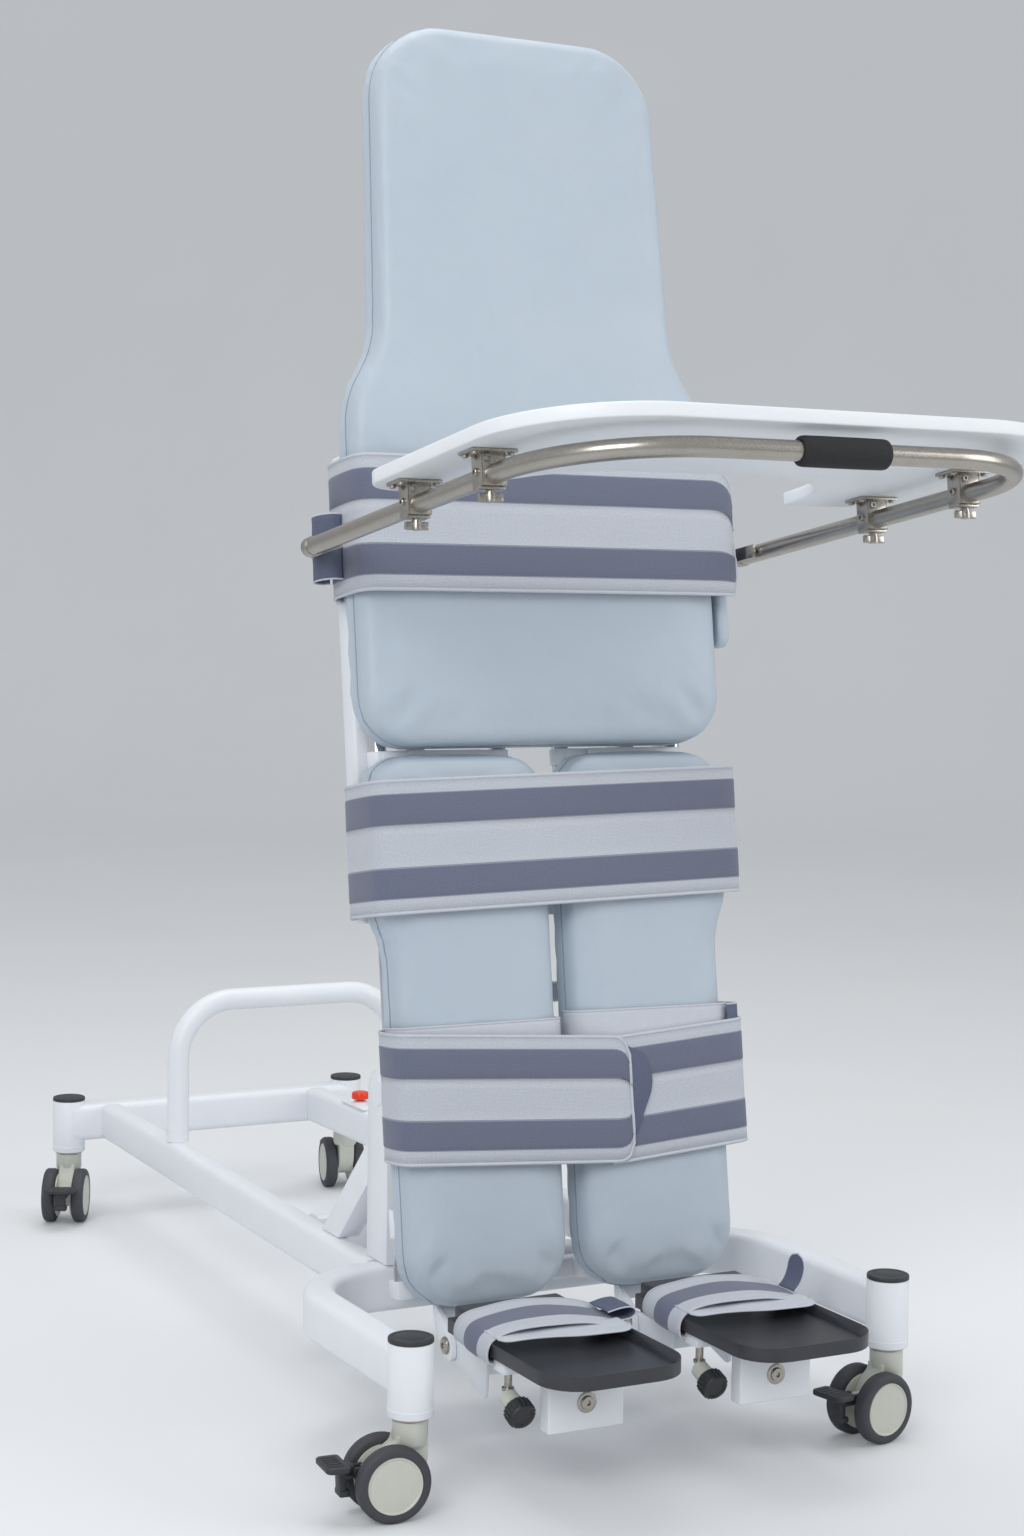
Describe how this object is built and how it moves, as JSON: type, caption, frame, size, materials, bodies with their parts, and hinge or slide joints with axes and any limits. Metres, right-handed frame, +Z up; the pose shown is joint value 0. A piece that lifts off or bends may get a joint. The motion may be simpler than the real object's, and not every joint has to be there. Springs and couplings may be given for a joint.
{
  "type": "physiotherapy tilt table",
  "caption": "Wheeled tilt table with a cushioned bed that rises from lying to standing, sliding leg sections, foot plates, straps and a tray.",
  "frame": {"origin": "on the floor, under the middle of the whole object's box", "axes": "+Z up, +Y from the foot end to the head end of the base, +X across to the patient's left"},
  "size_m": [0.9098, 2.2328, 2.0115],
  "materials": {
    "white_coat": "satin white powder coat",
    "leatherette": "pale blue leatherette over foam",
    "webbing": "grey elastic webbing with slate stripes",
    "stainless": "brushed stainless steel",
    "chrome": "polished",
    "black_plastic": "matt black moulding",
    "caster_plastic": "beige moulding",
    "tyre": "grey tread with beige hub discs",
    "board": "white laminate",
    "foam": "black foam grip",
    "red_plastic": "orange red",
    "motor": "dark grey housing"
  },
  "bodies": {
    "base": {"front_bow": "white_coat", "rear_crossbar": "white_coat", "left_rail": "white_coat", "right_rail": "white_coat", "left_column": "white_coat", "right_column": "white_coat", "rest_bow": "white_coat", "actuator_crossbar": "white_coat", "stop_base": "board", "front_left_post_cap": "black_plastic", "front_right_post_cap": "black_plastic", "rear_left_post_cap": "black_plastic", "rear_right_post_cap": "black_plastic"},
    "stop_button": {"stop_button": "red_plastic"},
    "front_left_caster": {"front_left_caster_body": "caster_plastic"},
    "front_left_wheels": {"front_left_caster_wheels": "tyre"},
    "front_left_pedal": {"front_left_brake_pedal": "black_plastic"},
    "front_right_caster": {"front_right_caster_body": "caster_plastic"},
    "front_right_wheels": {"front_right_caster_wheels": "tyre"},
    "front_right_pedal": {"front_right_brake_pedal": "black_plastic"},
    "rear_left_caster": {"rear_left_caster_body": "caster_plastic"},
    "rear_left_wheels": {"rear_left_caster_wheels": "tyre"},
    "rear_left_pedal": {"rear_left_brake_pedal": "black_plastic"},
    "rear_right_caster": {"rear_right_caster_body": "caster_plastic"},
    "rear_right_wheels": {"rear_right_caster_wheels": "tyre"},
    "rear_right_pedal": {"rear_right_brake_pedal": "black_plastic"},
    "actuator_body": {"actuator_body": "motor"},
    "actuator_rod": {"actuator_rod": "chrome"},
    "bed": {"bed_frame": "white_coat", "left_outer_guide_tube": "chrome", "left_inner_guide_tube": "chrome", "right_inner_guide_tube": "chrome", "right_outer_guide_tube": "chrome", "torso_pad": "leatherette", "left_side_bolster": "leatherette", "right_side_bolster": "leatherette", "chest_strap": "webbing", "knee_strap": "webbing", "calf_strap": "webbing"},
    "left_leg": {"left_leg_frame": "white_coat", "left_leg_pad": "leatherette", "left_ankle_bolt": "stainless"},
    "left_foot": {"left_foot_beam": "white_coat", "left_foot_plate": "black_plastic", "left_foot_strap": "webbing"},
    "left_knob": {"left_foot_knob": "black_plastic"},
    "right_leg": {"right_leg_frame": "white_coat", "right_leg_pad": "leatherette", "right_ankle_bolt": "stainless"},
    "right_foot": {"right_foot_beam": "white_coat", "right_foot_plate": "black_plastic", "right_foot_strap": "webbing"},
    "right_knob": {"right_foot_knob": "black_plastic"},
    "tray": {"tray_board": "board", "tray_tube": "stainless", "tray_grip": "foam", "left_rear_tray_clamp": "stainless", "left_front_tray_clamp": "stainless", "right_rear_tray_clamp": "stainless", "right_front_tray_clamp": "stainless"}
  },
  "joints": [
    {"name": "stop_press", "type": "slide", "parent": "base", "child": "stop_button", "axis": [0, 0, -1], "range_m": [0, 0.004], "stiffness_N_per_m": 800, "springref_m": -0.004},
    {"name": "front_left_swivel", "type": "hinge", "parent": "base", "child": "front_left_caster", "pos_m": [-0.33342, -0.71914, 0.11457], "axis": [0, 0, 1], "continuous": true},
    {"name": "front_left_wheel_spin", "type": "hinge", "parent": "front_left_caster", "child": "front_left_wheels", "pos_m": [-0.3653, -0.71635, 0.04957], "axis": [-0.0872, -0.9962, 0], "continuous": true},
    {"name": "front_left_brake", "type": "hinge", "parent": "front_left_caster", "child": "front_left_pedal", "pos_m": [-0.39518, -0.71374, 0.06357], "axis": [-0.0872, -0.9962, 0], "range_deg": [0, 16]},
    {"name": "front_right_swivel", "type": "hinge", "parent": "base", "child": "front_right_caster", "pos_m": [0.41318, -0.71914, 0.11457], "axis": [0, 0, 1], "continuous": true},
    {"name": "front_right_wheel_spin", "type": "hinge", "parent": "front_right_caster", "child": "front_right_wheels", "pos_m": [0.38167, -0.7247, 0.04957], "axis": [0.1736, -0.9848, 0], "continuous": true},
    {"name": "front_right_brake", "type": "hinge", "parent": "front_right_caster", "child": "front_right_pedal", "pos_m": [0.35212, -0.72991, 0.06357], "axis": [0.1736, -0.9848, 0], "range_deg": [0, 16]},
    {"name": "rear_left_swivel", "type": "hinge", "parent": "base", "child": "rear_left_caster", "pos_m": [-0.24542, 0.99446, 0.11457], "axis": [0, 0, 1], "continuous": true},
    {"name": "rear_left_wheel_spin", "type": "hinge", "parent": "rear_left_caster", "child": "rear_left_wheels", "pos_m": [-0.2602, 0.96608, 0.04957], "axis": [0.887, -0.4617, 0], "continuous": true},
    {"name": "rear_left_brake", "type": "hinge", "parent": "rear_left_caster", "child": "rear_left_pedal", "pos_m": [-0.27405, 0.93947, 0.06357], "axis": [0.887, -0.4617, 0], "range_deg": [0, 16]},
    {"name": "rear_right_swivel", "type": "hinge", "parent": "base", "child": "rear_right_caster", "pos_m": [0.32518, 0.99446, 0.11457], "axis": [0, 0, 1], "continuous": true},
    {"name": "rear_right_wheel_spin", "type": "hinge", "parent": "rear_right_caster", "child": "rear_right_wheels", "pos_m": [0.33183, 1.02576, 0.04957], "axis": [-0.9781, 0.2079, 0], "continuous": true},
    {"name": "rear_right_brake", "type": "hinge", "parent": "rear_right_caster", "child": "rear_right_pedal", "pos_m": [0.33807, 1.05511, 0.06357], "axis": [-0.9781, 0.2079, 0], "range_deg": [0, 16]},
    {"name": "bed_tilt", "type": "hinge", "parent": "base", "child": "bed", "pos_m": [0.03988, -0.30614, 0.46407], "axis": [1, 0, 0], "range_deg": [-82, 3]},
    {"name": "actuator_swing", "type": "hinge", "parent": "base", "child": "actuator_body", "pos_m": [0.03988, -0.05914, 0.17457], "axis": [1, 0, 0], "range_deg": [-6.32, 0.24]},
    {"name": "rod_slide", "type": "slide", "parent": "actuator_body", "child": "actuator_rod", "axis": [0, -0.4767, 0.8791], "range_m": [-0.16539, 0.00615]},
    {"name": "left_leg_slide", "type": "slide", "parent": "bed", "child": "left_leg", "axis": [0, -0.1392, -0.9903], "range_m": [0, 0.05]},
    {"name": "left_ankle", "type": "hinge", "parent": "left_leg", "child": "left_foot", "pos_m": [-0.10712, -0.47938, 0.13458], "axis": [1, 0, 0], "range_deg": [-12, 12]},
    {"name": "left_knob_turn", "type": "hinge", "parent": "left_foot", "child": "left_knob", "pos_m": [-0.19112, -0.74138, 0.12458], "axis": [0, -0.9397, -0.342], "continuous": true},
    {"name": "right_leg_slide", "type": "slide", "parent": "bed", "child": "right_leg", "axis": [0, -0.1392, -0.9903], "range_m": [0, 0.05]},
    {"name": "right_ankle", "type": "hinge", "parent": "right_leg", "child": "right_foot", "pos_m": [0.18688, -0.47938, 0.13458], "axis": [1, 0, 0], "range_deg": [-12, 12]},
    {"name": "right_knob_turn", "type": "hinge", "parent": "right_foot", "child": "right_knob", "pos_m": [0.10288, -0.74138, 0.12458], "axis": [0, -0.9397, -0.342], "continuous": true},
    {"name": "tray_slide", "type": "slide", "parent": "bed", "child": "tray", "axis": [0, -0.9903, 0.1392], "range_m": [-0.1, 0]}
  ],
  "couplings": [
    {"joint": "actuator_swing", "follows": "bed_tilt", "ratio": 0.076894},
    {"joint": "rod_slide", "follows": "bed_tilt", "m_per_rad": 0.11549}
  ]
}
